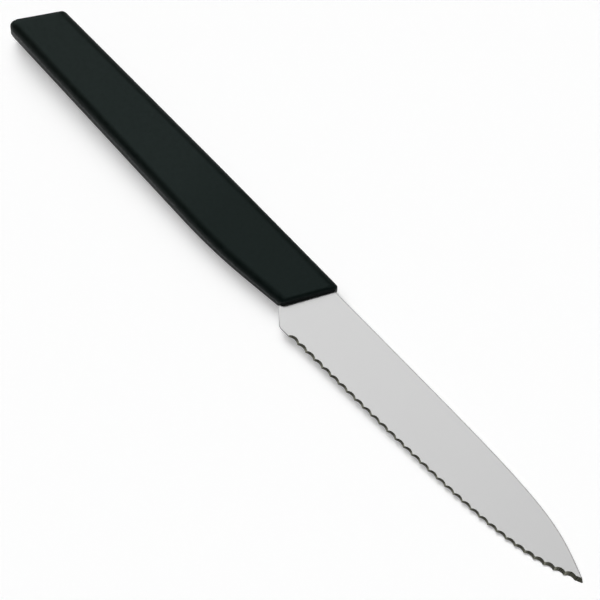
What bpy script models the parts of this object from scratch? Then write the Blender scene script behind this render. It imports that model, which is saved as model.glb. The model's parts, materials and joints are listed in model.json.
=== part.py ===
"""Serrated vegetable knife: a steel blade whose tang is moulded into a one-piece plastic handle.

The knife lies on its left side. The tip points along +X, the spine faces +Y, and the right face of
the blade, the one that is ground at the edge, looks up along +Z. The world origin is the middle of
the handle's lower flat, on which the knife rests. Every size is in metres.

The knife is drawn from a zero of its own: the point where the line of the spine leaves the handle,
halfway through the steel. The empty knife_datum carries that zero into the world.
"""
import math

import bmesh
import bpy
import numpy
from mathutils import Matrix, Vector

# Blade, measured on the flat
BLADE_LENGTH = 0.09745         # from the handle's front to the tip, along the spine
TIP_DROP = 0.00728             # how far the tip lies below the line of the spine
HEEL_DROP = 0.01662            # how far the heel lies below the line of the spine
HEEL_SETBACK = 0.00305         # how far the heel lies behind the handle's front
HEEL_RADIUS = 0.0020
CHOIL_ANGLE = math.radians(43.3)       # slope of the line from the heel up into the handle
SPINE_STRAIGHT = 0.03905       # the spine is straight this far, then falls to the tip
SPINE_SWEEP = 0.0406           # pull of the fall's curve along the spine
SPINE_FALL = 0.0131            # pull of the fall's curve back from the tip
SPINE_TIP_ANGLE = math.radians(20.3)
NOSE_RADIUS = 0.0040           # small rounding where the spine reaches the tip
NOSE_TURN = math.radians(26)
EDGE_STRAIGHT = 0.0005         # the edge is straight this far, then rises to the tip
EDGE_SLOPE = math.radians(1.0)
EDGE_SWEEP = 0.0699            # pull of the rise's curve along the straight edge
EDGE_RISE = 0.01805            # pull of the rise's curve back from the tip
EDGE_TIP_ANGLE = math.radians(25)

# Steel, through its thickness
STEEL_THICKNESS = 0.0011       # the sheet, left whole in the tang and along the first of the spine
HEEL_EDGE_THICKNESS = 0.00030  # what the flat grind leaves above the heel
TIP_EDGE_THICKNESS = 0.00055   # what it leaves at the tip
PLUNGE_DEPTH = 0.0090          # the flat grind runs this far back into the handle

# Serrations, ground into the right face only
PLAIN_HEEL = 0.00367           # straight edge left between the heel and the first scallop
SCALLOP_PITCH = 0.0029
WHEEL_RADIUS = 0.0048
BEVEL_ANGLE = math.radians(26.6)
CUSP_LOSS = 0.00003            # the points between scallops lie this far inside the blank's edge

# Handle, measured on the flat
HANDLE_THICKNESS = 0.0091
FRONT_THICKNESS = 0.0054        # both flats fall towards the blade and leave this at the front
TAPER_LENGTH = 0.050           # they start to fall this far behind the front
TAPER_BEND = 0.016             # and bend over this length
HANDLE_BACK_LENGTH = 0.10115   # along the side that lies over the spine
FRONT_SLANT = math.radians(27.8)
BUTT_SLANT = math.radians(32.8)
FRONT_STEP = 0.00131           # the handle stands this far proud of the spine at its front
BUTT_STEP = 0.00088            # and this far at its butt
BACK_CROWN = 0.00015           # its back bows out by this much in between
FRONT_DROP = 0.01256           # front corner of the belly, below the line of the spine
KNEE_SETBACK = 0.02915         # low point of the belly, behind the handle's front
KNEE_DROP = 0.0148
BUTT_DROP = 0.0124             # butt corner of the belly, below the line of the spine
FRONT_BACK_RADIUS = 0.0008     # corner radii, seen on the flat
FRONT_BELLY_RADIUS = 0.0020
KNEE_RADIUS = 0.168
BUTT_BELLY_RADIUS = 0.0018
BUTT_BACK_RADIUS = 0.0007
RIM_RADIUS = 0.0024            # rounding between the flats and the long sides
END_RIM_RADIUS = 0.0012        # and between the flats and the two ends

# Tang and its seat in the handle
SHOULDER_DEPTH = 0.0030        # the full-height root of the blade enters the handle this far
TANG_LENGTH = 0.0680           # from the handle's front to the tang's end
TANG_WALL = 0.0030             # plastic above and below the tang
TANG_END_RADIUS = 0.0025
ROOT_RADIUS = 0.0012           # inside corners between the root and the tang
TANG_HOLE = 0.0040             # holes that the plastic runs through and so keys the tang
TANG_HOLES = 3
SEAT_GAP = 0.0003              # between the steel and the plastic

# Fineness of the rounded forms
CHORD_ERROR = 0.00001          # an arc's facets lie no further than this from the arc
CURVE_STEPS = 24
WHEEL_FACETS = 84
RIM_STEPS = 6
TAPER_STEPS = 4                # facets of the bend in the flats
HOLE_FACETS = 32
SIDE_SHARE = 0.45              # of a side between two rounded corners, the most that each may take
FLAT_ANGLE = math.radians(0.05)        # faces that turn by less than this are one flat
SHARP_ANGLE = math.radians(30)         # edges that turn by more than this are shaded sharp
WELD = 0.000001
CORNER_REACH = 0.00001         # a point this near a corner of the drawing is that corner

# Cutters that pass right through reach further than any side of the knife
REACH = 2 * (BLADE_LENGTH + HANDLE_BACK_LENGTH)


def clear_scene():
    """Removes whatever objects the file starts with."""
    for item in list(bpy.data.objects):
        bpy.data.objects.remove(item, do_unlink=True)


def new_collection(name):
    """Adds a collection to the scene."""
    group = bpy.data.collections.new(name)
    bpy.context.scene.collection.children.link(group)
    return group


def new_material(name, colour, roughness, metallic):
    """Makes a plain Principled material."""
    material = bpy.data.materials.new(name)
    material.use_nodes = True
    shader = material.node_tree.nodes["Principled BSDF"]
    shader.inputs["Base Color"].default_value = (*colour, 1.0)
    shader.inputs["Roughness"].default_value = roughness
    shader.inputs["Metallic"].default_value = metallic
    return material


def bezier(start, start_pull, end_pull, end):
    """Points of a cubic curve after its first point."""
    points = []
    for index in range(1, CURVE_STEPS + 1):
        t = index / CURVE_STEPS
        s = 1 - t
        points.append(s ** 3 * start + 3 * s * s * t * start_pull + 3 * s * t * t * end_pull + t ** 3 * end)
    return points


def arc_steps(radius, turn):
    """How many facets an arc needs to look round."""
    return max(2, math.ceil(turn / (2 * math.acos(1 - CHORD_ERROR / radius))))


def room(corner, neighbour, neighbour_radius):
    """How much of the side to a neighbour the rounding of a corner may take."""
    share = SIDE_SHARE if neighbour_radius else 2 * SIDE_SHARE
    return share * (neighbour - corner).length


def rounded(corners):
    """Outline through corners given as (point, radius), each rounded as far as its sides allow."""
    outline = []
    for index, (corner, radius) in enumerate(corners):
        if radius == 0:
            outline.append(corner)
            continue
        previous, following = corners[index - 1], corners[(index + 1) % len(corners)]
        before = previous[0] - corner
        after = following[0] - corner
        turn = math.pi - before.angle(after)
        tangent = min(radius * math.tan(turn / 2), room(corner, *previous), room(corner, *following))
        radius = tangent / math.tan(turn / 2)
        start = corner + before.normalized() * tangent
        inward = (before.normalized() + after.normalized()).normalized()
        centre = corner + inward * math.hypot(radius, tangent)
        swing = -math.copysign(turn, before.cross(after))
        steps = arc_steps(radius, turn)
        for step in range(steps + 1):
            outline.append(centre + Matrix.Rotation(swing * step / steps, 2) @ (start - centre))
    return outline


def half_thickness(x, y):
    """Half of what the flat grind leaves between the faces at a place on the blade."""
    spine = STEEL_THICKNESS / 2
    fall = (spine - HEEL_EDGE_THICKNESS / 2) / HEEL_DROP
    taper = (spine - fall * TIP_DROP - TIP_EDGE_THICKNESS / 2) / BLADE_LENGTH
    return spine + fall * y - taper * x


def tip_point():
    """The very tip of the blade."""
    return Vector((BLADE_LENGTH, -TIP_DROP))


def edge_line():
    """The blank's cutting edge, from the heel to the tip."""
    heel = Vector((-HEEL_SETBACK, -HEEL_DROP))
    leaving = Vector((math.cos(EDGE_SLOPE), math.sin(EDGE_SLOPE)))
    arriving = Vector((math.cos(EDGE_TIP_ANGLE), math.sin(EDGE_TIP_ANGLE)))
    bend = heel + leaving * (EDGE_STRAIGHT + HEEL_SETBACK)
    rise = bezier(bend, bend + leaving * EDGE_SWEEP, tip_point() - arriving * EDGE_RISE, tip_point())
    return [heel, bend] + rise


def spine_line():
    """The spine, from just behind the tip back to the end of its straight run."""
    chord_angle = SPINE_TIP_ANGLE + NOSE_TURN / 2
    chord = 2 * NOSE_RADIUS * math.sin(NOSE_TURN / 2)
    nose = tip_point() + Vector((-math.cos(chord_angle), math.sin(chord_angle))) * chord
    arriving = Vector((math.cos(SPINE_TIP_ANGLE), -math.sin(SPINE_TIP_ANGLE)))
    centre = nose - Vector((math.sin(SPINE_TIP_ANGLE), math.cos(SPINE_TIP_ANGLE))) * NOSE_RADIUS
    bend = Vector((SPINE_STRAIGHT, 0))
    line = [bend] + bezier(bend, bend + Vector((SPINE_SWEEP, 0)), nose - arriving * SPINE_FALL, nose)
    steps = arc_steps(NOSE_RADIUS, NOSE_TURN)
    for step in range(1, steps):
        line.append(centre + Matrix.Rotation(-NOSE_TURN * step / steps, 2) @ (nose - centre))
    line.reverse()
    return line


def tang_levels():
    """Heights on the flat of the tang's upper and lower sides."""
    return FRONT_STEP - TANG_WALL, TANG_WALL - FRONT_DROP


def blank_outline():
    """Outline of the steel blank, blade and tang together, from the heel round by the tip."""
    upper, lower = tang_levels()
    heel, *edge = edge_line()
    rise = lower - heel.y
    corners = [(heel, HEEL_RADIUS)]
    corners += [(point, 0) for point in edge + spine_line()]
    corners += [
        (Vector((-SHOULDER_DEPTH, 0)), 0),
        (Vector((-SHOULDER_DEPTH, upper)), ROOT_RADIUS),
        (Vector((-TANG_LENGTH, upper)), TANG_END_RADIUS),
        (Vector((-TANG_LENGTH, lower)), TANG_END_RADIUS),
        (heel + Vector((-rise / math.tan(CHOIL_ANGLE), rise)), ROOT_RADIUS),
    ]
    return rounded(corners)


def handle_corners():
    """Corners of the handle on the flat with their radii, from the belly's front corner round."""
    front_belly = Vector((-FRONT_DROP * math.tan(FRONT_SLANT), -FRONT_DROP))
    front_back = Vector((FRONT_STEP * math.tan(FRONT_SLANT), FRONT_STEP))
    butt_back = Vector((front_back.x - HANDLE_BACK_LENGTH, BUTT_STEP))
    butt_height = BUTT_STEP + BUTT_DROP
    butt_belly = butt_back - Vector((butt_height * math.tan(BUTT_SLANT), butt_height))
    return [
        (front_belly, FRONT_BELLY_RADIUS),
        (front_back, FRONT_BACK_RADIUS),
        (butt_back, BUTT_BACK_RADIUS),
        (butt_belly, BUTT_BELLY_RADIUS),
    ]


def handle_outline():
    """Outline of the handle with sharp corners, its back crowned and its belly bent at the knee."""
    front_belly, front_back, butt_back, butt_belly = (corner for corner, _ in handle_corners())
    crown = (front_back + butt_back) / 2 + Vector((0, BACK_CROWN))
    knee = Vector((-KNEE_SETBACK, -KNEE_DROP))
    corners = [front_belly, front_back, crown, butt_back, butt_belly]
    return rounded([(corner, 0) for corner in corners] + [(knee, KNEE_RADIUS)])


def sheet(name, outline, half_thick, spread=0.0):
    """A flat mesh cut to an outline, which may be spread outward by a clearance."""
    curve = bpy.data.curves.new(name, 'CURVE')
    curve.dimensions = '2D'
    curve.fill_mode = 'BOTH'
    curve.extrude = half_thick
    curve.offset = spread
    spline = curve.splines.new('POLY')
    spline.points.add(len(outline) - 1)
    for point, place in zip(spline.points, outline):
        point.co = (place.x, place.y, 0, 1)
    spline.use_cyclic_u = True
    drawn = bpy.data.objects.new(name, curve)
    bpy.context.scene.collection.objects.link(drawn)
    mesh = bpy.data.meshes.new_from_object(drawn.evaluated_get(bpy.context.evaluated_depsgraph_get()))
    bpy.data.objects.remove(drawn, do_unlink=True)
    bpy.data.curves.remove(curve)
    solid = bmesh.new()
    solid.from_mesh(mesh)
    bmesh.ops.remove_doubles(solid, verts=solid.verts, dist=WELD)
    bmesh.ops.recalc_face_normals(solid, faces=solid.faces)
    solid.to_mesh(mesh)
    solid.free()
    mesh.name = name
    return mesh


def box_mesh(name, low, high):
    """A box between two corners."""
    solid = bmesh.new()
    bmesh.ops.create_cube(solid, size=1)
    bmesh.ops.scale(solid, vec=high - low, verts=solid.verts)
    bmesh.ops.translate(solid, vec=(low + high) / 2, verts=solid.verts)
    mesh = bpy.data.meshes.new(name)
    solid.to_mesh(mesh)
    solid.free()
    return mesh


def cylinder_mesh(name, radius, length, facets):
    """A cylinder along Z, centred on its own zero."""
    solid = bmesh.new()
    bmesh.ops.create_cone(solid, cap_ends=True, segments=facets, radius1=radius, radius2=radius, depth=length)
    mesh = bpy.data.meshes.new(name)
    solid.to_mesh(mesh)
    solid.free()
    return mesh


def add_part(name, mesh, group, datum, material):
    """Puts a piece of the knife into the scene under the datum."""
    item = bpy.data.objects.new(name, mesh)
    group.objects.link(item)
    item.parent = datum
    mesh.materials.clear()
    mesh.materials.append(material)
    mesh.shade_smooth()
    mesh.set_sharp_from_angle(angle=SHARP_ANGLE)
    return item


def add_cutter(name, mesh, group, datum):
    """Puts a cutting shape into the scene under the datum, drawn as wire and never rendered."""
    item = bpy.data.objects.new(name, mesh)
    group.objects.link(item)
    item.parent = datum
    item.display_type = 'WIRE'
    item.hide_render = True
    return item


def cut(item, cutter):
    """Takes a shape, or every shape in a collection, out of an object."""
    boolean = item.modifiers.new("cut " + cutter.name, 'BOOLEAN')
    boolean.operation = 'DIFFERENCE'
    boolean.solver = 'EXACT'
    if isinstance(cutter, bpy.types.Collection):
        boolean.operand_type = 'COLLECTION'
        boolean.collection = cutter
    else:
        boolean.object = cutter


def placement(place, x_axis, z_axis):
    """A placement at a point, with its X and Z along two directions that are square to each other."""
    y_axis = z_axis.cross(x_axis)
    placed = Matrix((x_axis, y_axis, z_axis)).transposed().to_4x4()
    placed.translation = place
    return placed


def grind_block(name, side, clearance, group, datum):
    """The block of steel that the flat grind takes off one face, from the plunge to the tip."""
    mirror = Matrix.Diagonal((1, 1, side))
    zero = Vector((0, 0, half_thickness(0, 0)))
    along = Vector((BLADE_LENGTH, 0, half_thickness(BLADE_LENGTH, 0))) - zero
    across = zero - Vector((0, -HEEL_DROP, half_thickness(0, -HEEL_DROP)))
    normal = along.cross(across)
    low = Vector((clearance - PLUNGE_DEPTH, -REACH, clearance))
    block = add_cutter(name, box_mesh(name, low, Vector((REACH, REACH, REACH))), group, datum)
    block.matrix_local = placement(mirror @ zero, (mirror @ along).normalized(), (mirror @ normal).normalized())
    return block


def finish_blank(blank, clearance, cutters, datum):
    """Grinds both faces of a steel blank flat and drills its tang, all grown by a clearance."""
    for side, word in ((1, "right"), (-1, "left")):
        cut(blank, grind_block(f"{blank.name}_grind_{word}", side, clearance, cutters, datum))
    spacing = (TANG_LENGTH - SHOULDER_DEPTH) / TANG_HOLES
    for index in range(TANG_HOLES):
        name = f"{blank.name}_drill_{index + 1}"
        mesh = cylinder_mesh(name, TANG_HOLE / 2 - clearance, REACH, HOLE_FACETS)
        drill = add_cutter(name, mesh, cutters, datum)
        drill.location = (-SHOULDER_DEPTH - spacing * (index + 0.5), sum(tang_levels()) / 2, 0)
        cut(blank, drill)


def place_on_edge(distance):
    """The point at a distance along the edge from the heel, and the edge's direction there."""
    line = edge_line()
    steps = [after - before for before, after in zip(line, line[1:])]
    travelled = numpy.cumsum([0] + [step.length for step in steps])
    index = min(int(numpy.searchsorted(travelled, distance, side='right')) - 1, len(steps) - 1)
    direction = steps[index].normalized()
    return line[index] + direction * (distance - travelled[index]), direction


def bevel_frame(distance, depth):
    """Where a bevel meets the left face, some way inside the edge, and its three directions.

    They run along the edge, up the bevel towards the spine, and out of the bevel.
    """
    place, direction = place_on_edge(distance)
    along = direction.to_3d()
    inward = Vector((-along.y, along.x, 0))
    foot = place.to_3d() + inward * depth
    foot.z = -half_thickness(foot.x, foot.y)
    up_bevel = inward * math.cos(BEVEL_ANGLE) + Vector((0, 0, math.sin(BEVEL_ANGLE)))
    return foot, along, up_bevel, along.cross(up_bevel)


def grinding_wheels(datum):
    """The wheels that grind the scallops, and a flat stone for the plain stretch left at the tip."""
    wheels = new_collection("grinding wheels")
    line = edge_line()
    length = sum((after - before).length for before, after in zip(line, line[1:]))
    count = int((length - PLAIN_HEEL) / SCALLOP_PITCH)
    long_axis = WHEEL_RADIUS / math.sin(BEVEL_ANGLE)
    scallop_depth = long_axis * (1 - math.sqrt(1 - (SCALLOP_PITCH / 2 / WHEEL_RADIUS) ** 2))
    for index in range(count):
        distance = PLAIN_HEEL + SCALLOP_PITCH * (index + 0.5)
        foot, along, up_bevel, outward = bevel_frame(distance, scallop_depth + CUSP_LOSS)
        mesh = cylinder_mesh("wheel", WHEEL_RADIUS, 2 * WHEEL_RADIUS, WHEEL_FACETS)
        wheel = add_cutter(f"wheel_{index + 1}", mesh, wheels, datum)
        wheel.matrix_local = placement(foot + outward * WHEEL_RADIUS, along, up_bevel)
    scalloped = PLAIN_HEEL + SCALLOP_PITCH * count
    foot, along, up_bevel, outward = bevel_frame((scalloped + length) / 2, CUSP_LOSS)
    low = Vector((-(length - scalloped) / 2, -WHEEL_RADIUS, 0))
    mesh = box_mesh("tip_stone", low, Vector((WHEEL_RADIUS, WHEEL_RADIUS, WHEEL_RADIUS)))
    stone = add_cutter("tip_stone", mesh, wheels, datum)
    stone.matrix_local = placement(foot, along, outward)
    return wheels


def thickness_left(x):
    """What share of the handle's thickness is left at a place along it."""
    fall = (HANDLE_THICKNESS - FRONT_THICKNESS) / (TAPER_LENGTH - TAPER_BEND / 2)
    run = max(0, x + TAPER_LENGTH)
    lost = fall * (run ** 2 / (2 * TAPER_BEND) if run < TAPER_BEND else run - TAPER_BEND / 2)
    return 1 - lost / HANDLE_THICKNESS


def tapered(mesh):
    """The rounded handle, thinned towards its front."""
    solid = bmesh.new()
    solid.from_mesh(mesh)
    for step in range(TAPER_STEPS + 1):
        everything = solid.verts[:] + solid.edges[:] + solid.faces[:]
        place = Vector((TAPER_BEND * step / TAPER_STEPS - TAPER_LENGTH, 0, 0))
        bmesh.ops.bisect_plane(solid, geom=everything, plane_co=place, plane_no=(1, 0, 0))
    for vertex in solid.verts:
        vertex.co.z *= thickness_left(vertex.co.x)
    solid.to_mesh(mesh)
    solid.free()
    return mesh


def mark_roundings(mesh):
    """Weights the handle's edges for rounding and returns the width that a full weight stands for."""
    corners = handle_corners()
    widths = {}
    for index, (corner, radius) in enumerate(corners):
        before = corners[index - 1][0] - corner
        after = corners[(index + 1) % len(corners)][0] - corner
        widths[index] = radius / math.tan(before.angle(after) / 2)
    full = max(RIM_RADIUS, *widths.values())
    solid = bmesh.new()
    solid.from_mesh(mesh)
    bmesh.ops.dissolve_limit(solid, angle_limit=FLAT_ANGLE, verts=solid.verts, edges=solid.edges)
    weights = solid.edges.layers.float.new("bevel_weight_edge")
    for edge in solid.edges:
        ends = [vertex.co for vertex in edge.verts]
        met = {index for index, (corner, _) in enumerate(corners)
               for end in ends if (end.xy - corner).length < CORNER_REACH}
        if abs(ends[0].z - ends[1].z) < WELD:
            radius = END_RIM_RADIUS if met in ({0, 1}, {2, 3}) else RIM_RADIUS
            edge[weights] = radius / full
        elif met:
            edge[weights] = widths[met.pop()] / full
    solid.to_mesh(mesh)
    solid.free()
    return full


def round_handle(handle):
    """Rounds the handle's four corners and both of its rims, then thins its front."""
    bevel = handle.modifiers.new("rims and corners", 'BEVEL')
    bevel.width = mark_roundings(handle.data)
    bevel.limit_method = 'WEIGHT'
    bevel.segments = RIM_STEPS
    bevel.use_clamp_overlap = False
    depsgraph = bpy.context.evaluated_depsgraph_get()
    mesh = bpy.data.meshes.new_from_object(handle.evaluated_get(depsgraph))
    handle.modifiers.remove(bevel)
    handle.data = tapered(mesh)


def handle_centre():
    """The middle of the handle on the flat."""
    outline = handle_outline()
    xs = [point.x for point in outline]
    ys = [point.y for point in outline]
    return Vector((min(xs) + max(xs), min(ys) + max(ys))) / 2


def build_knife():
    """Builds the blade and the handle in the place where they are joined for good."""
    clear_scene()
    parts = new_collection("vegetable knife")
    cutters = new_collection("cutters")
    steel = new_material("satin stainless steel", (0.62, 0.62, 0.61), 0.32, 1.0)
    plastic = new_material("black moulded plastic", (0.018, 0.021, 0.021), 0.5, 0.0)

    centre = handle_centre()
    datum = bpy.data.objects.new("knife_datum", None)
    parts.objects.link(datum)
    datum.location = (-centre.x, -centre.y, HANDLE_THICKNESS / 2)

    blade = add_part("blade", sheet("blade", blank_outline(), STEEL_THICKNESS / 2), parts, datum, steel)
    finish_blank(blade, 0, cutters, datum)
    cut(blade, grinding_wheels(datum))

    seat_mesh = sheet("tang_seat", blank_outline(), STEEL_THICKNESS / 2 + SEAT_GAP, SEAT_GAP)
    seat = add_cutter("tang_seat", seat_mesh, cutters, datum)
    finish_blank(seat, SEAT_GAP, cutters, datum)

    handle = add_part("handle", sheet("handle", handle_outline(), HANDLE_THICKNESS / 2), parts, datum, plastic)
    round_handle(handle)
    cut(handle, seat)


build_knife()
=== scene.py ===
"""Looks of the serrated vegetable knife: finer blade and handle, their finishes, and the studio.

Everything is in metres. The knife lies on its left side with the tip along +X, the spine towards
+Y and the scalloped face up. The drawing's zero is the point where the line of the spine leaves
the handle, halfway through the steel.
"""
import json
import math

import bmesh
import bpy
from mathutils import Matrix, Vector

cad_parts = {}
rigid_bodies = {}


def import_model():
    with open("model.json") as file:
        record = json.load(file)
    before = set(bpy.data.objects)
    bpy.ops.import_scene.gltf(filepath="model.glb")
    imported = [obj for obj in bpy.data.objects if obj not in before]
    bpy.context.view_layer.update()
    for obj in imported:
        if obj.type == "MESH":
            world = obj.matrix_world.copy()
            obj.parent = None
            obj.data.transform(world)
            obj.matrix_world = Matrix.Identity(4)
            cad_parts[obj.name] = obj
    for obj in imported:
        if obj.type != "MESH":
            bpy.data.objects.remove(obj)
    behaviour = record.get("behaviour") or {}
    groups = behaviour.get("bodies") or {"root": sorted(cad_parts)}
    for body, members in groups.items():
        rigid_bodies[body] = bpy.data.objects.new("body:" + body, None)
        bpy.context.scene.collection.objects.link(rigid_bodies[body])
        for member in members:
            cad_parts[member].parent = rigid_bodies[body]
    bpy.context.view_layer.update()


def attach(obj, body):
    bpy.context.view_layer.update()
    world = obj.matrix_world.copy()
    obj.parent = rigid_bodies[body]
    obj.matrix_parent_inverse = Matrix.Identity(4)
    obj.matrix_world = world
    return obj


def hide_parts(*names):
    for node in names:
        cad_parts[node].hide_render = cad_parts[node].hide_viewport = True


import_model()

# Blade, measured on the flat
BLADE_LENGTH = 0.09745         # from the drawing's zero to the tip, along the spine
TIP_DROP = 0.00728             # how far the tip lies below the line of the spine
HEEL_DROP = 0.01662            # how far the heel lies below the line of the spine
HEEL_SETBACK = 0.00305         # how far the heel lies behind the drawing's zero
HEEL_RADIUS = 0.0020
CHOIL_ANGLE = math.radians(43.3)       # slope of the line from the heel up into the handle
SPINE_STRAIGHT = 0.03905       # the spine is straight this far, then falls to the tip
SPINE_SWEEP = 0.0406           # pull of the fall's curve along the spine
SPINE_FALL = 0.0131            # pull of the fall's curve back from the tip
SPINE_TIP_ANGLE = math.radians(20.3)   # slope of the spine where the nose begins
NOSE_RADIUS = 0.0040           # small rounding between the spine and the tip
NOSE_TURN = math.radians(26)
EDGE_SLOPE = math.radians(1.0)         # slope of the plain edge beside the heel
EDGE_SWEEP = 0.0699            # pull of the edge's curve along the plain edge
EDGE_RISE = 0.01805            # pull of the edge's curve back from the tip
EDGE_TIP_ANGLE = math.radians(25)      # slope of the edge where it reaches the tip

# Steel, through its thickness
STEEL_THICKNESS = 0.0011       # the sheet, before it is ground
HEEL_EDGE_THICKNESS = 0.00030  # what the flat grind leaves at the edge beside the heel
TIP_EDGE_THICKNESS = 0.00055   # and at the tip
PLUNGE_DEPTH = 0.0090          # the flat grind starts this far behind the drawing's zero
EDGE_BREAK = 0.00014           # the stamped corners are rounded off by this much
EDGE_BREAK_DEPTH = 0.0060      # from this far behind the drawing's zero onwards

# Serrations, ground into the right face only
PLAIN_HEEL = 0.00367           # straight edge between the heel and the first scallop
SCALLOP_PITCH = 0.0029
WHEEL_RADIUS = 0.0048
BEVEL_ANGLE = math.radians(26.6)       # slope of the wheel's cut against the blade's flat
BEVEL_REACH = 2 * STEEL_THICKNESS      # the cutter reaches this far up and down the bevel
CUSP_LOSS = 0.00003            # the points between scallops lie this far inside the blank's edge

# Handle, measured on the flat
HANDLE_THICKNESS = 0.0091
FRONT_THICKNESS = 0.0054       # both flats fall towards the blade and leave this at the front
TAPER_LENGTH = 0.050           # they start to fall this far behind the drawing's zero
TAPER_BEND = 0.016             # and bend over this length
HANDLE_BACK_LENGTH = 0.10115   # along the side that lies over the spine
FRONT_SLANT = math.radians(27.8)
BUTT_SLANT = math.radians(32.8)
FRONT_STEP = 0.00131           # the handle stands this far proud of the spine at its front
BUTT_STEP = 0.00088            # and this far at its butt
BACK_CROWN = 0.00006           # its back bows out by this much in between
FRONT_DROP = 0.01256           # front corner of the belly, below the line of the spine
KNEE_SETBACK = 0.02915         # where the belly's two lines would meet, behind the drawing's zero
KNEE_DROP = 0.0148             # and below the line of the spine
KNEE_RADIUS = 0.168            # the long curve that joins the two lines
BUTT_DROP = 0.0124             # butt corner of the belly, below the line of the spine
FRONT_BACK_RADIUS = 0.0010     # the four corner radii, seen on the flat
FRONT_BELLY_RADIUS = 0.0020
BUTT_BELLY_RADIUS = 0.0018
BUTT_BACK_RADIUS = 0.0013
RIM_RADIUS = 0.0024            # rounding between the flats and the long sides
END_RIM_RADIUS = 0.0012        # and between the flats and the two ends

# Tang and its seat, which the moulded plastic fills tight
SHOULDER_DEPTH = 0.0030        # the blade's full-height root enters the handle this far
TANG_LENGTH = 0.0680           # from the drawing's zero back to the tang's end
TANG_WALL = 0.0030             # plastic above and below the tang, at the handle's front
TANG_END_RADIUS = 0.0025
ROOT_RADIUS = 0.0012           # inside corners between the root and the tang
TANG_HOLE = 0.0040             # across each hole; plastic runs through it and keys the tang
TANG_HOLES = 3
JOINT_GAP = 0.00002            # a hair's breadth between the steel and the plastic

# Fineness of the rounded forms
CHORD_ERROR = 0.0000015        # an arc's facets lie no further than this from the arc
CURVE_STEPS = 48
SCALLOP_STEPS = 18
RUN_IN_STEPS = 2               # the first scallop's curve goes on by this many towards the heel
RIM_STEPS = 12
BREAK_STEPS = 4
TAPER_STEPS = 12               # facets of the bend in the handle's flats
HOLE_FACETS = 64
SIDE_SHARE = 0.45              # of a side between two rounded corners, the most that each may take
FLAT_ANGLE = math.radians(0.02)        # faces that turn by less than this are one flat
SHARP_ANGLE = math.radians(20)         # edges that turn by more than this are shaded sharp
LEVEL = 0.99                   # a face lies level if its normal has more Z than this
UPRIGHT = 0.1                  # and stands upright if its normal has less than this
LARGE_FACE_LEAD = 100          # 50 is neutral, and more lets large faces settle the shading
WELD = 0.000001                # points nearer than this are one
CORNER_REACH = 0.00001         # a point this near a corner of the drawing is that corner
REACH = 2 * (BLADE_LENGTH + HANDLE_BACK_LENGTH)        # further than any side of the knife

# Finishes of the steel and the plastic
NOISE_RANGE = (0.3, 0.7)       # nearly all of a noise lies between these
STREAK_FINENESS = 0.16         # of the streaks, against the grinding lines
SPECK_FINENESS = 14.0          # of the specks, against the patches of film
STREAK_SHARE = 0.6             # of the steel's unevenness; films make up the rest
UNEVEN_RANGE = (0.32, 0.68)    # nearly all of that mixture lies between these
STREAK_ROUGHNESS = 0.07        # the streaks change the steel's roughness by this share
STEEL_PATCH = 0.02             # size of the film's patches on the steel
PLASTIC_PATCH = 0.012          # and on the plastic
PATCH_SHIFT = 0.12             # the patches shift the plastic's tone by this share
# Painted light and shade: the plastic is painted darker at the front and lighter at the butt, as the light
# falls along the handle.
FRONT_PLASTIC_PAINTED_SHADE = (0.0001, 0.0015, 0.0011)
BUTT_PLASTIC_PAINTED_LIGHT = (0.0016, 0.0023, 0.0016)
PLASTIC_ROUGHNESS = (0.42, 0.55)
PLASTIC_SHINE = 0.215          # how strongly its skin mirrors
PAINTED_REFLECTION_TINT = (0.74, 1.0, 0.96, 1.0)  # painted reflection: a cool tint on what it mirrors, standing in for the light's colour
PLASTIC_GRAIN = 4200.0         # grains of the mould's skin to a metre
GRAIN_DEPTH = 0.00002          # and how deep they go

# Camera: it looks down at the knife from the front, through a long lens
CAMERA_AIM = Vector((0.04964, -0.00125, HANDLE_THICKNESS / 2))
CAMERA_HEADING = math.radians(46.38)   # turn of the picture's upward direction from +Y towards -X
CAMERA_ELEVATION = math.radians(75)
CAMERA_DISTANCE = 2.0225
CAMERA_LENS = 480              # mm, like the sensor's width
CAMERA_SENSOR = 36
CAMERA_RANGE = (0.1, 40)       # what lies nearer or further isn't drawn

# Floor of pale paper
FLOOR_RADIUS = 12.0
FLOOR_FACETS = 96
FLOOR_TONE = 0.705             # how much of the light the paper throws back
FLOOR_GLOW = 0.34              # what the paper, lit from below as well, adds by itself
PULP_GRAIN = 900.0             # flecks of the paper to a metre
PULP_SHADE = 0.005             # they change its tone by this share

# Light
KEY_DIRECTION = Vector((-0.60, 0.20, 0.77)).normalized()
KEY_STRENGTH = 12.8
KEY_TIGHTNESS = 22.0           # the higher, the smaller and harder the main light
KEY_GLINT = 1.4                # the most that steel and plastic mirror of it
FILL_STRENGTH = 0.035
HORIZON_STRENGTH = 0.9
HORIZON_HEIGHT = 0.05          # sine of the height to which the pale horizon reaches
HORIZON_FADE = 1.6             # it has faded out at this many times that sine
WALL_HEIGHT = 0.55             # sine of the height to which the pale walls reach
WALL_FADE = 1.4                # they have faded out at this many times that sine
WALL_SIDE_FADE = 1.2           # and at this many times half their width
WALLS = [                      # heading from +X, half the width, and strength of each
    (math.radians(0), math.radians(50), 0.45),
    (math.radians(-155), math.radians(25), 0.18),
]


# Drawing

def bezier(start, start_pull, end_pull, end):
    """Points of a cubic curve after its first point."""
    points = []
    for index in range(1, CURVE_STEPS + 1):
        t = index / CURVE_STEPS
        s = 1 - t
        points.append(s ** 3 * start + 3 * s * s * t * start_pull + 3 * s * t * t * end_pull + t ** 3 * end)
    return points


def arc_steps(radius, turn):
    """How many facets an arc needs to look round."""
    return max(2, math.ceil(turn / (2 * math.acos(1 - CHORD_ERROR / radius))))


def room(corner, neighbour, neighbour_radius):
    """How much of the side to a neighbour the rounding of a corner may take."""
    share = SIDE_SHARE if neighbour_radius else 2 * SIDE_SHARE
    return share * (neighbour - corner).length


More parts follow.
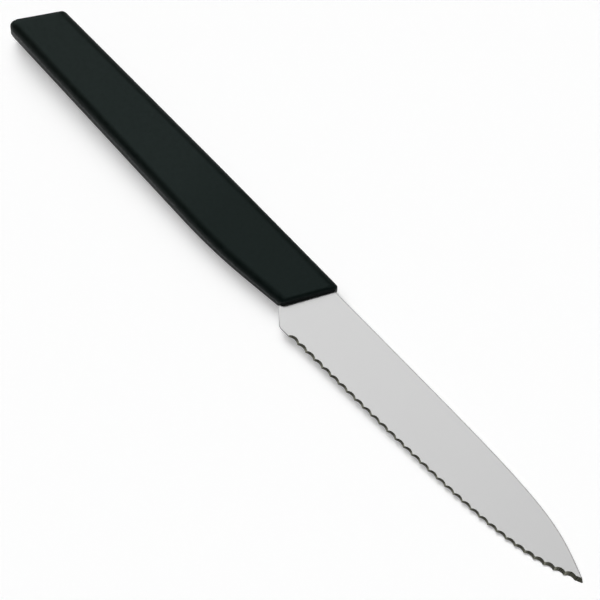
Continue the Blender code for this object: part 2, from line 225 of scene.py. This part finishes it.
def rounded(corners):
    """Outline through corners given as (point, radius), each rounded as far as its sides allow."""
    outline = []
    for index, (corner, radius) in enumerate(corners):
        if radius == 0:
            outline.append(corner)
            continue
        previous, following = corners[index - 1], corners[(index + 1) % len(corners)]
        before = previous[0] - corner
        after = following[0] - corner
        turn = math.pi - before.angle(after)
        tangent = min(radius * math.tan(turn / 2), room(corner, *previous), room(corner, *following))
        radius = tangent / math.tan(turn / 2)
        start = corner + before.normalized() * tangent
        inward = (before.normalized() + after.normalized()).normalized()
        centre = corner + inward * math.hypot(radius, tangent)
        swing = -math.copysign(turn, before.cross(after))
        steps = arc_steps(radius, turn)
        for step in range(steps + 1):
            outline.append(centre + Matrix.Rotation(swing * step / steps, 2) @ (start - centre))
    return outline


def half_thickness(x, y):
    """Half of what the flat grind leaves between the faces at a place on the blade."""
    spine = STEEL_THICKNESS / 2
    fall = (spine - HEEL_EDGE_THICKNESS / 2) / HEEL_DROP
    taper = (spine - fall * TIP_DROP - TIP_EDGE_THICKNESS / 2) / BLADE_LENGTH
    return spine + fall * y - taper * x


def tip_point():
    """The very tip of the blade."""
    return Vector((BLADE_LENGTH, -TIP_DROP))


def edge_line():
    """The blank's cutting edge, from the heel to the tip."""
    heel = Vector((-HEEL_SETBACK, -HEEL_DROP))
    leaving = Vector((math.cos(EDGE_SLOPE), math.sin(EDGE_SLOPE)))
    arriving = Vector((math.cos(EDGE_TIP_ANGLE), math.sin(EDGE_TIP_ANGLE)))
    bend = heel + leaving * PLAIN_HEEL
    rise = bezier(bend, bend + leaving * EDGE_SWEEP, tip_point() - arriving * EDGE_RISE, tip_point())
    return [heel, bend] + rise


def plain_end():
    """Where the plain edge beside the heel ends and the first scallop starts."""
    return edge_line()[1]


def spine_line():
    """The spine, from just behind the tip back to the end of its straight run."""
    chord_angle = SPINE_TIP_ANGLE + NOSE_TURN / 2
    chord = 2 * NOSE_RADIUS * math.sin(NOSE_TURN / 2)
    nose = tip_point() + Vector((-math.cos(chord_angle), math.sin(chord_angle))) * chord
    arriving = Vector((math.cos(SPINE_TIP_ANGLE), -math.sin(SPINE_TIP_ANGLE)))
    centre = nose - Vector((math.sin(SPINE_TIP_ANGLE), math.cos(SPINE_TIP_ANGLE))) * NOSE_RADIUS
    bend = Vector((SPINE_STRAIGHT, 0))
    line = [bend] + bezier(bend, bend + Vector((SPINE_SWEEP, 0)), nose - arriving * SPINE_FALL, nose)
    steps = arc_steps(NOSE_RADIUS, NOSE_TURN)
    for step in range(1, steps):
        line.append(centre + Matrix.Rotation(-NOSE_TURN * step / steps, 2) @ (nose - centre))
    line.reverse()
    return line


def tang_levels():
    """Heights on the flat of the tang's upper and lower sides."""
    return FRONT_STEP - TANG_WALL, TANG_WALL - FRONT_DROP


def blank_outline():
    """Outline of the steel blank, blade and tang together, from the heel round by the tip."""
    upper, lower = tang_levels()
    heel, *edge = edge_line()
    rise = lower - heel.y
    corners = [(heel, HEEL_RADIUS)]
    corners += [(point, 0) for point in edge + spine_line()]
    corners += [
        (Vector((-SHOULDER_DEPTH, 0)), 0),
        (Vector((-SHOULDER_DEPTH, upper)), ROOT_RADIUS),
        (Vector((-TANG_LENGTH, upper)), TANG_END_RADIUS),
        (Vector((-TANG_LENGTH, lower)), TANG_END_RADIUS),
        (heel + Vector((-rise / math.tan(CHOIL_ANGLE), rise)), ROOT_RADIUS),
    ]
    return rounded(corners)


def handle_corners():
    """Corners of the handle on the flat with their radii, from the belly's front corner round."""
    front_belly = Vector((-FRONT_DROP * math.tan(FRONT_SLANT), -FRONT_DROP))
    front_back = Vector((FRONT_STEP * math.tan(FRONT_SLANT), FRONT_STEP))
    butt_back = Vector((front_back.x - HANDLE_BACK_LENGTH, BUTT_STEP))
    butt_height = BUTT_STEP + BUTT_DROP
    butt_belly = butt_back - Vector((butt_height * math.tan(BUTT_SLANT), butt_height))
    return [
        (front_belly, FRONT_BELLY_RADIUS),
        (front_back, FRONT_BACK_RADIUS),
        (butt_back, BUTT_BACK_RADIUS),
        (butt_belly, BUTT_BELLY_RADIUS),
    ]


def handle_outline():
    """Outline of the handle with sharp corners, its back crowned and its belly bent at the knee."""
    front_belly, front_back, butt_back, butt_belly = (corner for corner, _ in handle_corners())
    crown = (front_back + butt_back) / 2 + Vector((0, BACK_CROWN))
    knee = Vector((-KNEE_SETBACK, -KNEE_DROP))
    corners = [front_belly, front_back, crown, butt_back, butt_belly]
    return rounded([(corner, 0) for corner in corners] + [(knee, KNEE_RADIUS)])


def handle_centre():
    """The middle of the handle on the flat."""
    outline = handle_outline()
    xs = [point.x for point in outline]
    ys = [point.y for point in outline]
    return Vector((min(xs) + max(xs), min(ys) + max(ys))) / 2


# Meshes

def placed(name, data):
    """An object in the scene that holds some data."""
    item = bpy.data.objects.new(name, data)
    bpy.context.scene.collection.objects.link(item)
    return item


def into_frame(mesh):
    """Moves a drawn mesh from the drawing's zero to its place in the knife's frame."""
    centre = handle_centre()
    mesh.transform(Matrix.Translation((-centre.x, -centre.y, HANDLE_THICKNESS / 2)))


def new_mesh(name, solid):
    """A mesh with what a bmesh holds. The bmesh is freed."""
    mesh = bpy.data.meshes.new(name)
    solid.to_mesh(mesh)
    solid.free()
    return mesh


def evaluated(item):
    """The mesh of an object with its modifiers applied. The object is removed."""
    depsgraph = bpy.context.evaluated_depsgraph_get()
    mesh = bpy.data.meshes.new_from_object(item.evaluated_get(depsgraph))
    bpy.data.objects.remove(item, do_unlink=True)
    return mesh


def bevelled(mesh, width, steps):
    """A mesh with its weighted edges rounded off. A full weight stands for the width."""
    item = placed("bevelled", mesh)
    bevel = item.modifiers.new("rounding", 'BEVEL')
    bevel.width = width
    bevel.limit_method = 'WEIGHT'
    bevel.segments = steps
    bevel.use_clamp_overlap = False
    return evaluated(item)


def carved(mesh, cutters):
    """A mesh with every cutter taken out of it. What a cutter leaves takes the cutter's finish."""
    item = placed("carved", mesh)
    tools = bpy.data.collections.new("tools")
    bpy.context.scene.collection.children.link(tools)
    for cutter in cutters:
        tools.objects.link(bpy.data.objects.new("tool", cutter))
    boolean = item.modifiers.new("carve", 'BOOLEAN')
    boolean.operation = 'DIFFERENCE'
    boolean.solver = 'EXACT'
    boolean.operand_type = 'COLLECTION'
    boolean.collection = tools
    boolean.material_mode = 'TRANSFER'
    result = evaluated(item)
    for tool in list(tools.objects):
        bpy.data.objects.remove(tool, do_unlink=True)
    bpy.data.collections.remove(tools)
    return result


def sheet(name, outline, half_thick, clearance=0.0):
    """A flat mesh cut to an outline, which may be spread outward by a clearance."""
    curve = bpy.data.curves.new(name, 'CURVE')
    curve.dimensions = '2D'
    curve.fill_mode = 'BOTH'
    curve.extrude = half_thick
    curve.offset = clearance
    spline = curve.splines.new('POLY')
    spline.points.add(len(outline) - 1)
    for point, place in zip(spline.points, outline):
        point.co = (place.x, place.y, 0, 1)
    spline.use_cyclic_u = True
    mesh = evaluated(placed(name, curve))
    bpy.data.curves.remove(curve)
    solid = bmesh.new()
    solid.from_mesh(mesh)
    bmesh.ops.remove_doubles(solid, verts=solid.verts, dist=WELD)
    bmesh.ops.recalc_face_normals(solid, faces=solid.faces)
    level = [edge for edge in solid.edges if all(abs(face.normal.z) > LEVEL for face in edge.link_faces)]
    bmesh.ops.dissolve_edges(solid, edges=level, use_verts=False)
    solid.to_mesh(mesh)
    solid.free()
    return mesh


def placement(place, x_axis, z_axis):
    """A placement at a point, with its X and Z along two directions that are square to each other."""
    y_axis = z_axis.cross(x_axis)
    matrix = Matrix((x_axis, y_axis, z_axis)).transposed().to_4x4()
    matrix.translation = place
    return matrix


def grind_block(side, clearance):
    """The block of steel that the flat grind takes off one face, from the plunge to the tip."""
    mirror = Matrix.Diagonal((1, 1, side))
    zero = Vector((0, 0, half_thickness(0, 0)))
    along = Vector((BLADE_LENGTH, 0, half_thickness(BLADE_LENGTH, 0))) - zero
    across = zero - Vector((0, -HEEL_DROP, half_thickness(0, -HEEL_DROP)))
    normal = along.cross(across)
    low = Vector((clearance - PLUNGE_DEPTH, -REACH, clearance))
    high = Vector((REACH, REACH, REACH))
    solid = bmesh.new()
    bmesh.ops.create_cube(solid, size=1)
    bmesh.ops.scale(solid, vec=high - low, verts=solid.verts)
    bmesh.ops.translate(solid, vec=(low + high) / 2, verts=solid.verts)
    solid.transform(placement(mirror @ zero, (mirror @ along).normalized(), (mirror @ normal).normalized()))
    return new_mesh("grind", solid)


def drill(place, radius):
    """A drill through the tang."""
    solid = bmesh.new()
    bmesh.ops.create_cone(
        solid, cap_ends=True, segments=HOLE_FACETS, radius1=radius, radius2=radius, depth=HANDLE_THICKNESS)
    bmesh.ops.translate(solid, vec=place, verts=solid.verts)
    return new_mesh("drill", solid)


def ground_blank(clearance):
    """The steel with both faces ground flat and its tang drilled, all grown by a clearance."""
    blank = sheet("blank", blank_outline(), STEEL_THICKNESS / 2 + clearance, clearance)
    tools = [grind_block(1, clearance), grind_block(-1, clearance)]
    spacing = (TANG_LENGTH - SHOULDER_DEPTH) / TANG_HOLES
    for index in range(TANG_HOLES):
        place = Vector((-SHOULDER_DEPTH - spacing * (index + 0.5), sum(tang_levels()) / 2, 0))
        tools.append(drill(place, TANG_HOLE / 2 - clearance))
    return carved(blank, tools)


def is_stamped_corner(edge):
    """Whether an edge parts a face of the blade from a stamped side, clear of the scallops."""
    side, face = sorted(edge.link_faces, key=lambda either: abs(either.normal.z))
    middle = (edge.verts[0].co + edge.verts[1].co) / 2
    scalloped = side.normal.y < 0 and middle.x > plain_end().x
    corner = abs(side.normal.z) < UPRIGHT and abs(face.normal.z) > LEVEL
    return corner and middle.x > -EDGE_BREAK_DEPTH and not scalloped


def break_corners(mesh):
    """Rounds off the corners between the faces and the stamped sides of the blade."""
    solid = bmesh.new()
    solid.from_mesh(mesh)
    weights = solid.edges.layers.float.new("bevel_weight_edge")
    for edge in solid.edges:
        if is_stamped_corner(edge):
            edge[weights] = 1
    solid.to_mesh(mesh)
    solid.free()
    return bevelled(mesh, EDGE_BREAK, BREAK_STEPS)


def place_on_edge(distance):
    """The point at a distance along the edge from the heel, and the edge's direction there."""
    line = edge_line()
    travelled = 0
    for before, after in zip(line, line[1:]):
        step = after - before
        if distance <= travelled + step.length or after is line[-1]:
            return before + step.normalized() * (distance - travelled), step.normalized()
        travelled += step.length


def bevel_frame(distance, depth):
    """Where a bevel meets the left face, some way inside the edge, and its three directions."""
    place, direction = place_on_edge(distance)
    along = direction.to_3d()
    inward = Vector((-along.y, along.x, 0))
    foot = place.to_3d() + inward * depth
    foot.z = -half_thickness(foot.x, foot.y)
    up_bevel = inward * math.cos(BEVEL_ANGLE) + Vector((0, 0, math.sin(BEVEL_ANGLE)))
    return foot, along, up_bevel, along.cross(up_bevel)


def scallop_run(index, depth, steps):
    """The straight lines of one scallop's bevel, as (point on the bevel, direction up it).

    Each line lies a number of steps from the end of the scallop that is nearer the heel.
    """
    foot, along, up_bevel, outward = bevel_frame(PLAIN_HEEL + SCALLOP_PITCH * (index + 0.5), depth)
    run = []
    for step in steps:
        across = SCALLOP_PITCH * (step / SCALLOP_STEPS - 0.5)
        rise = WHEEL_RADIUS - math.sqrt(WHEEL_RADIUS ** 2 - across ** 2)
        run.append((foot + along * across + outward * rise, up_bevel))
    return run


def bevel_lines():
    """The straight lines that make up all the bevels, from just behind the first scallop."""
    line = edge_line()
    length = sum((after - before).length for before, after in zip(line, line[1:]))
    count = int((length - PLAIN_HEEL) / SCALLOP_PITCH)
    long_axis = WHEEL_RADIUS / math.sin(BEVEL_ANGLE)
    depth = long_axis * (1 - math.sqrt(1 - (SCALLOP_PITCH / 2 / WHEEL_RADIUS) ** 2)) + CUSP_LOSS
    runs = [scallop_run(index, depth, range(SCALLOP_STEPS + 1)) for index in range(count)]
    scalloped = PLAIN_HEEL + SCALLOP_PITCH * count
    foot, along, up_bevel, _ = bevel_frame((scalloped + length) / 2, CUSP_LOSS)
    reach = (length - scalloped) / 2
    runs.append([(foot - along * reach, up_bevel), (foot + along * (reach + SCALLOP_PITCH), up_bevel)])

    lines = []
    for run in runs:
        if lines:
            point, direction = lines.pop()
            run[0] = ((point + run[0][0]) / 2, (direction + run[0][1]).normalized())
        lines += run
    return scallop_run(0, depth, [-RUN_IN_STEPS]) + lines


def serration_cutter(finish):
    """Everything that the grinding of the scallops takes away, as one long solid."""
    solid = bmesh.new()
    rings = []
    for point, up_bevel in bevel_lines():
        outside = Vector((-up_bevel.x, -up_bevel.y, 0)).normalized() * WHEEL_RADIUS
        upper = point + up_bevel * BEVEL_REACH
        lower = point - up_bevel * BEVEL_REACH
        corners = [upper, lower, lower + outside, upper + outside]
        rings.append([solid.verts.new(corner) for corner in corners])
    for ring, following in zip(rings, rings[1:]):
        for index in range(len(ring)):
            other = (index + 1) % len(ring)
            solid.faces.new((ring[index], ring[other], following[other], following[index]))
    solid.faces.new(rings[0])
    solid.faces.new(rings[-1])
    bmesh.ops.recalc_face_normals(solid, faces=solid.faces)
    mesh = new_mesh("serrations", solid)
    mesh.materials.append(finish)
    return mesh


def shade(item):
    """Shades an object smooth between its sharp edges, with its large faces kept flat."""
    item.data.shade_smooth()
    item.data.set_sharp_from_angle(angle=SHARP_ANGLE)
    normals = item.modifiers.new("face weighted normals", 'WEIGHTED_NORMAL')
    normals.keep_sharp = True
    normals.weight = LARGE_FACE_LEAD


def build_blade(face_finish, side_finish, bevel_finish):
    """The blade with its tang, ground, broken at its corners and scalloped."""
    mesh = break_corners(ground_blank(0))
    mesh.materials.clear()
    mesh.materials.append(face_finish)
    mesh.materials.append(side_finish)
    for face in mesh.polygons:
        face.material_index = 0 if abs(face.normal.z) > LEVEL else 1
    mesh = carved(mesh, [serration_cutter(bevel_finish)])
    into_frame(mesh)
    blade = placed("fine_blade", mesh)
    shade(blade)
    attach(blade, "root")
    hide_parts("blade")
    return blade


def thickness_left(x):
    """What share of the handle's thickness is left at a place along it."""
    fall = (HANDLE_THICKNESS - FRONT_THICKNESS) / (TAPER_LENGTH - TAPER_BEND / 2)
    run = max(0, x + TAPER_LENGTH)
    lost = fall * (run ** 2 / (2 * TAPER_BEND) if run < TAPER_BEND else run - TAPER_BEND / 2)
    return 1 - lost / HANDLE_THICKNESS


def tapered(mesh):
    """The rounded handle, thinned towards its front."""
    solid = bmesh.new()
    solid.from_mesh(mesh)
    for step in range(TAPER_STEPS + 1):
        everything = solid.verts[:] + solid.edges[:] + solid.faces[:]
        place = Vector((TAPER_BEND * step / TAPER_STEPS - TAPER_LENGTH, 0, 0))
        bmesh.ops.bisect_plane(solid, geom=everything, plane_co=place, plane_no=(1, 0, 0))
    for vertex in solid.verts:
        vertex.co.z *= thickness_left(vertex.co.x)
    solid.to_mesh(mesh)
    solid.free()
    return mesh


def mark_roundings(mesh):
    """Weights the handle's edges for rounding and returns the width that a full weight stands for."""
    corners = handle_corners()
    widths = []
    for index, (corner, radius) in enumerate(corners):
        before = corners[index - 1][0] - corner
        after = corners[(index + 1) % len(corners)][0] - corner
        widths.append(radius / math.tan(before.angle(after) / 2))
    full = max(RIM_RADIUS, *widths)
    solid = bmesh.new()
    solid.from_mesh(mesh)
    bmesh.ops.dissolve_limit(solid, angle_limit=FLAT_ANGLE, verts=solid.verts, edges=solid.edges)
    weights = solid.edges.layers.float.new("bevel_weight_edge")
    for edge in solid.edges:
        ends = [vertex.co for vertex in edge.verts]
        met = {index for index, (corner, _) in enumerate(corners)
               for end in ends if (end.xy - corner).length < CORNER_REACH}
        if abs(ends[0].z - ends[1].z) < WELD:
            radius = END_RIM_RADIUS if met in ({0, 1}, {2, 3}) else RIM_RADIUS
            edge[weights] = radius / full
        elif met:
            edge[weights] = widths[met.pop()] / full
    solid.to_mesh(mesh)
    solid.free()
    return full


def build_handle(finish):
    """The moulded handle, rounded at its rims and corners, with the tang's seat in it."""
    mesh = sheet("slab", handle_outline(), HANDLE_THICKNESS / 2)
    full_width = mark_roundings(mesh)
    mesh = tapered(bevelled(mesh, full_width, RIM_STEPS))
    mesh = carved(mesh, [ground_blank(JOINT_GAP)])
    mesh.materials.clear()
    mesh.materials.append(finish)
    into_frame(mesh)
    handle = placed("fine_handle", mesh)
    shade(handle)
    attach(handle, "root")
    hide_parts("handle")
    return handle


# Finishes

def new_material(name):
    """A material that holds a Principled shader and its output, and nothing else."""
    material = bpy.data.materials.new(name)
    material.use_nodes = True
    return material, material.node_tree, material.node_tree.nodes["Principled BSDF"]


def group_tree(name, inputs, outputs):
    """A shader node group with number inputs, given with their usual values, and number outputs."""
    tree = bpy.data.node_groups.new(name, 'ShaderNodeTree')
    for label, value in inputs.items():
        socket = tree.interface.new_socket(name=label, in_out='INPUT', socket_type='NodeSocketFloat')
        socket.default_value = value
    for label in outputs:
        tree.interface.new_socket(name=label, in_out='OUTPUT', socket_type='NodeSocketFloat')
    return tree, tree.nodes.new('NodeGroupInput'), tree.nodes.new('NodeGroupOutput')


def node(tree, kind, links=None, **settings):
    """Adds a node. Links name its inputs and give a value or the socket that feeds each."""
    made = tree.nodes.new(kind)
    for key, value in settings.items():
        setattr(made, key, value)
    for key, value in (links or {}).items():
        if isinstance(value, bpy.types.NodeSocket):
            tree.links.new(value, made.inputs[key])
        else:
            made.inputs[key].default_value = value
    return made


def calc(tree, operation, *values):
    """The result of a Math node."""
    return node(tree, 'ShaderNodeMath', dict(enumerate(values)), operation=operation).outputs[0]


def spread(tree, value, low, high, low_to, high_to):
    """A value mapped from one range to another and kept inside it."""
    links = {"Value": value, "From Min": low, "From Max": high, "To Min": low_to, "To Max": high_to}
    return node(tree, 'ShaderNodeMapRange', links).outputs["Result"]


def object_place(tree):
    """Where a point of the surface lies on its own object, in metres."""
    return node(tree, 'ShaderNodeTexCoord').outputs["Object"]


def noise(tree, place, scale, detail, roughness=0.5):
    """A noise between 0 and 1."""
    links = {"Vector": place, "Scale": scale, "Detail": detail, "Roughness": roughness}
    return node(tree, 'ShaderNodeTexNoise', links).outputs[0]


def two_tones(tree, factor, first, second):
    """A colour between two tones."""
    links = {"Factor": factor, "A": (*first, 1.0), "B": (*second, 1.0)}
    return node(tree, 'ShaderNodeMix', links, data_type='RGBA').outputs["Result"]


def relief(tree, height, depth):
    """The direction of a surface under a fine relief, where a height of 1 stands for the depth."""
    links = {"Height": height, "Strength": 1.0, "Distance": depth}
    return node(tree, 'ShaderNodeBump', links).outputs[0]


def grinding_lines():
    """Group: fine lines that a grinding belt or wheel leaves across the blade, and their streaks."""
    tree, given, result = group_tree(
        "grinding lines", {"Line Width": 0.00006, "Line Length": 0.006}, ["Lines", "Streaks"])
    place = object_place(tree)
    width = calc(tree, 'DIVIDE', 1.0, given.outputs["Line Width"])
    length = calc(tree, 'DIVIDE', 1.0, given.outputs["Line Length"])
    for label, fineness in (("Lines", 1.0), ("Streaks", STREAK_FINENESS)):
        along = calc(tree, 'MULTIPLY', width, fineness)
        across = calc(tree, 'MULTIPLY', length, fineness)
        scale = node(tree, 'ShaderNodeCombineXYZ', {"X": along, "Y": across, "Z": length}).outputs[0]
        drawn = node(tree, 'ShaderNodeVectorMath', {0: place, 1: scale}, operation='MULTIPLY').outputs[0]
        tree.links.new(noise(tree, drawn, 1.0, detail=2.0), result.inputs[label])
    return tree


def cloudy_tone():
    """Group: soft patches, such as thin films and handling leave on any surface, and fine specks."""
    tree, given, result = group_tree("cloudy tone", {"Patch Size": 0.01}, ["Cloud", "Specks"])
    place = object_place(tree)
    patches = calc(tree, 'DIVIDE', 1.0, given.outputs["Patch Size"])
    specks = calc(tree, 'MULTIPLY', patches, SPECK_FINENESS)
    tree.links.new(noise(tree, place, patches, detail=3.0, roughness=0.55), result.inputs["Cloud"])
    tree.links.new(noise(tree, place, specks, detail=1.0), result.inputs["Specks"])
    return tree


def painted_light_share():
    """Group: how far a place lies from the handle, as a share of the way to the tip, which sets the blade's
    painted light.
    """
    tree, _, result = group_tree("painted_light_share", {}, ["Share"])
    length = node(tree, 'ShaderNodeSeparateXYZ', {"Vector": object_place(tree)}).outputs["X"]
    start = -handle_centre().x
    tree.links.new(spread(tree, length, start, start + BLADE_LENGTH, 0.0, 1.0), result.inputs["Share"])
    return tree


def steel_finish(name, patterns, dark, light, painted_light_drift, roughness, line_width, line_length, line_depth):
    """Ground stainless steel, between a dark and a light tone.

    The painted light drift is the share of the way from dark to light that the tone goes from the handle to
    the
    tip: painted light that lightens the blade towards its tip. Streaks and films make up the rest.
    """
    lines, tone, towards_tip = patterns
    material, tree, shader = new_material(name)
    sizes = {"Line Width": line_width, "Line Length": line_length}
    ground = node(tree, 'ShaderNodeGroup', sizes, node_tree=lines).outputs
    film = node(tree, 'ShaderNodeGroup', {"Patch Size": STEEL_PATCH}, node_tree=tone).outputs
    place = node(tree, 'ShaderNodeGroup', node_tree=towards_tip).outputs["Share"]
    streaks = calc(tree, 'MULTIPLY', ground["Streaks"], STREAK_SHARE)
    clouds = calc(tree, 'MULTIPLY', film["Cloud"], 1.0 - STREAK_SHARE)
    uneven = spread(tree, calc(tree, 'ADD', streaks, clouds), *UNEVEN_RANGE, 0.0, 1.0 - painted_light_drift)
    # painted light: the tone is painted lighter towards the tip
    factor = calc(tree, 'ADD', uneven, calc(tree, 'MULTIPLY', place, painted_light_drift))
    tree.links.new(two_tones(tree, factor, dark, light), shader.inputs["Base Color"])
    smooth, rough = (roughness * (1.0 + change) for change in (-STREAK_ROUGHNESS, STREAK_ROUGHNESS))
    tree.links.new(spread(tree, ground["Streaks"], *NOISE_RANGE, smooth, rough), shader.inputs["Roughness"])
    tree.links.new(relief(tree, ground["Lines"], line_depth), shader.inputs["Normal"])
    shader.inputs["Metallic"].default_value = 1.0
    return material


def plastic_finish(tone):
    """Black moulded plastic with the fine grain of a spark-eroded mould, painted lighter towards the butt
    and darker towards the front as painted light and shade.
    """
    material, tree, shader = new_material("black moulded plastic")
    film = node(tree, 'ShaderNodeGroup', {"Patch Size": PLASTIC_PATCH}, node_tree=tone).outputs
    place = object_place(tree)
    length = node(tree, 'ShaderNodeSeparateXYZ', {"Vector": place}).outputs["X"]
    # painted light: the plastic's tone is painted lighter towards the butt
    painted_light_towards_butt = spread(tree, length, -HANDLE_BACK_LENGTH / 2, HANDLE_BACK_LENGTH / 2, 1.0, 0.0)
    patches = spread(tree, film["Cloud"], *NOISE_RANGE, -PATCH_SHIFT, PATCH_SHIFT)
    factor = calc(tree, 'ADD', painted_light_towards_butt, patches)
    tree.links.new(two_tones(tree, factor, FRONT_PLASTIC_PAINTED_SHADE, BUTT_PLASTIC_PAINTED_LIGHT), shader.inputs["Base Color"])
    rough = spread(tree, film["Specks"], *NOISE_RANGE, *PLASTIC_ROUGHNESS)
    tree.links.new(rough, shader.inputs["Roughness"])
    grain = noise(tree, place, PLASTIC_GRAIN, detail=2.0, roughness=0.6)
    skin = calc(tree, 'ADD', grain, film["Specks"])
    tree.links.new(relief(tree, skin, GRAIN_DEPTH), shader.inputs["Normal"])
    shader.inputs["Specular IOR Level"].default_value = PLASTIC_SHINE
    # painted reflection colour: a cool tint standing in for the light
    shader.inputs["Specular Tint"].default_value = PAINTED_REFLECTION_TINT
    return material


def paper_finish():
    """White paper with faint flecks, which looks a little brighter than the light it throws back."""
    material, tree, shader = new_material("white paper")
    flecks = spread(tree, noise(tree, object_place(tree), PULP_GRAIN, detail=2.0), *NOISE_RANGE, 0.0, 1.0)
    tones = [(FLOOR_TONE * (1.0 + change),) * 3 for change in (-PULP_SHADE, PULP_SHADE)]
    tree.links.new(two_tones(tree, flecks, *tones), shader.inputs["Base Color"])
    seen = node(tree, 'ShaderNodeLightPath').outputs["Is Camera Ray"]
    tree.links.new(calc(tree, 'MULTIPLY', seen, FLOOR_GLOW), shader.inputs["Emission Strength"])
    shader.inputs["Emission Color"].default_value = (1, 1, 1, 1)
    shader.inputs["Roughness"].default_value = 1.0
    shader.inputs["Specular IOR Level"].default_value = 0.0
    return material


# Studio

def resting_line(pieces):
    """Where the floor touches the handle, and how steeply it then rises to the blade.

    The handle thins towards the blade, so the knife tips forward until it lies on the middle of
    its handle and on its tip. Seen from the side, that line is the longest one that can be drawn
    under the knife from point to point without cutting it.
    """
    under = []
    for x, z in sorted((vertex.co.x, vertex.co.z) for piece in pieces for vertex in piece.data.vertices):
        while len(under) > 1:
            (first_x, first_z), (last_x, last_z) = under[-2:]
            if (last_x - first_x) * (z - first_z) > (last_z - first_z) * (x - first_x):
                break
            under.pop()
        under.append((x, z))
    touch, end = max(zip(under, under[1:]), key=lambda pair: pair[1][0] - pair[0][0])
    return Vector((touch[0], 0, touch[1])), math.atan2(end[1] - touch[1], end[0] - touch[0])


def build_floor(pieces):
    """A plain pale floor that takes the knife's shadow."""
    solid = bmesh.new()
    bmesh.ops.create_circle(solid, cap_ends=True, segments=FLOOR_FACETS, radius=FLOOR_RADIUS)
    mesh = new_mesh("floor", solid)
    mesh.materials.append(paper_finish())
    floor = placed("floor", mesh)
    floor.location, rise = resting_line(pieces)
    floor.rotation_euler.y = -rise


def main_light(tree, direction, glossy):
    """Strength of the one soft light, of which a mirrored ray sees no more than a glint."""
    facing = node(tree, 'ShaderNodeVectorMath', {0: direction, 1: KEY_DIRECTION}, operation='DOT_PRODUCT')
    fall = calc(tree, 'SUBTRACT', facing.outputs["Value"], 1.0)
    glow = calc(tree, 'EXPONENT', calc(tree, 'MULTIPLY', fall, KEY_TIGHTNESS))
    limit = calc(tree, 'MULTIPLY_ADD', glossy, KEY_GLINT - KEY_STRENGTH, KEY_STRENGTH)
    return calc(tree, 'MINIMUM', calc(tree, 'MULTIPLY', glow, KEY_STRENGTH), limit)


def pale_wall(tree, bearing, heading, half_width, strength):
    """Strength of one wall of the studio along a level bearing."""
    middle = (math.cos(heading), math.sin(heading), 0)
    facing = node(tree, 'ShaderNodeVectorMath', {0: bearing, 1: middle}, operation='DOT_PRODUCT')
    outer = math.cos(half_width * WALL_SIDE_FADE)
    return spread(tree, facing.outputs["Value"], outer, math.cos(half_width), 0.0, strength)


def build_light():
    """One soft light from above, beyond the butt, over a pale horizon in a dark studio.

    Steel and plastic also mirror two pale walls, which throw no light on anything.
    """
    world = bpy.data.worlds.new("studio")
    bpy.context.scene.world = world
    world.use_nodes = True
    tree = world.node_tree
    background = tree.nodes["Background"]
    background.inputs["Color"].default_value = (1, 1, 1, 1)
    direction = node(tree, 'ShaderNodeTexCoord').outputs["Generated"]
    glossy = node(tree, 'ShaderNodeLightPath').outputs["Is Glossy Ray"]
    height = node(tree, 'ShaderNodeSeparateXYZ', {"Vector": direction}).outputs["Z"]
    rise = calc(tree, 'ABSOLUTE', height)
    horizon_top = HORIZON_HEIGHT * HORIZON_FADE
    horizon = spread(tree, rise, HORIZON_HEIGHT, horizon_top, HORIZON_STRENGTH, FILL_STRENGTH)
    studio = calc(tree, 'ADD', main_light(tree, direction, glossy), horizon)
    low = spread(tree, rise, WALL_HEIGHT, WALL_HEIGHT * WALL_FADE, 1.0, 0.0)
    mirrored = calc(tree, 'MULTIPLY', low, glossy)
    flat = node(tree, 'ShaderNodeVectorMath', {0: direction, 1: (1, 1, 0)}, operation='MULTIPLY').outputs[0]
    bearing = node(tree, 'ShaderNodeVectorMath', {0: flat}, operation='NORMALIZE').outputs[0]
    for heading, half_width, strength in WALLS:
        wall = pale_wall(tree, bearing, heading, half_width, strength)
        studio = calc(tree, 'ADD', studio, calc(tree, 'MULTIPLY', wall, mirrored))
    tree.links.new(studio, background.inputs["Strength"])


def build_camera():
    """The camera, above and in front of the knife."""
    sight = Vector((-math.sin(CAMERA_HEADING), math.cos(CAMERA_HEADING), 0)) * math.cos(CAMERA_ELEVATION)
    sight.z = -math.sin(CAMERA_ELEVATION)
    data = bpy.data.cameras.new("camera")
    data.lens = CAMERA_LENS
    data.sensor_width = CAMERA_SENSOR
    data.clip_start, data.clip_end = CAMERA_RANGE
    camera = placed("camera", data)
    camera.location = CAMERA_AIM - sight * CAMERA_DISTANCE
    camera.rotation_mode = 'QUATERNION'
    camera.rotation_quaternion = sight.to_track_quat('-Z', 'Y')
    bpy.context.scene.camera = camera


cloudy = cloudy_tone()
patterns = (grinding_lines(), cloudy, painted_light_share())
# The blade's faces are painted lighter from the handle to the tip: painted light.
faces = steel_finish(
    "satin ground steel", patterns, dark=(0.568, 0.568, 0.568), light=(0.668, 0.668, 0.668), painted_light_drift=0.9,
    roughness=0.20, line_width=0.00006, line_length=0.006, line_depth=0.00000008)
# The stamped sides are painted very dark: partly the rough stamped finish, partly painted shade where they
# lie in shadow.
sides = steel_finish(
    "stamped steel side", patterns, dark=(0.086, 0.086, 0.0845), light=(0.114, 0.114, 0.112), painted_light_drift=0.0,
    roughness=0.42, line_width=0.00012, line_length=0.001, line_depth=0.000001)
bevels = steel_finish(
    "wheel ground steel", patterns, dark=(0.54, 0.54, 0.43), light=(0.62, 0.62, 0.50), painted_light_drift=0.0,
    roughness=0.28, line_width=0.00005, line_length=0.003, line_depth=0.0000003)
blade = build_blade(faces, sides, bevels)
handle = build_handle(plastic_finish(cloudy))
build_floor([blade, handle])
build_light()
build_camera()
bpy.context.scene.view_settings.view_transform = 'Standard'
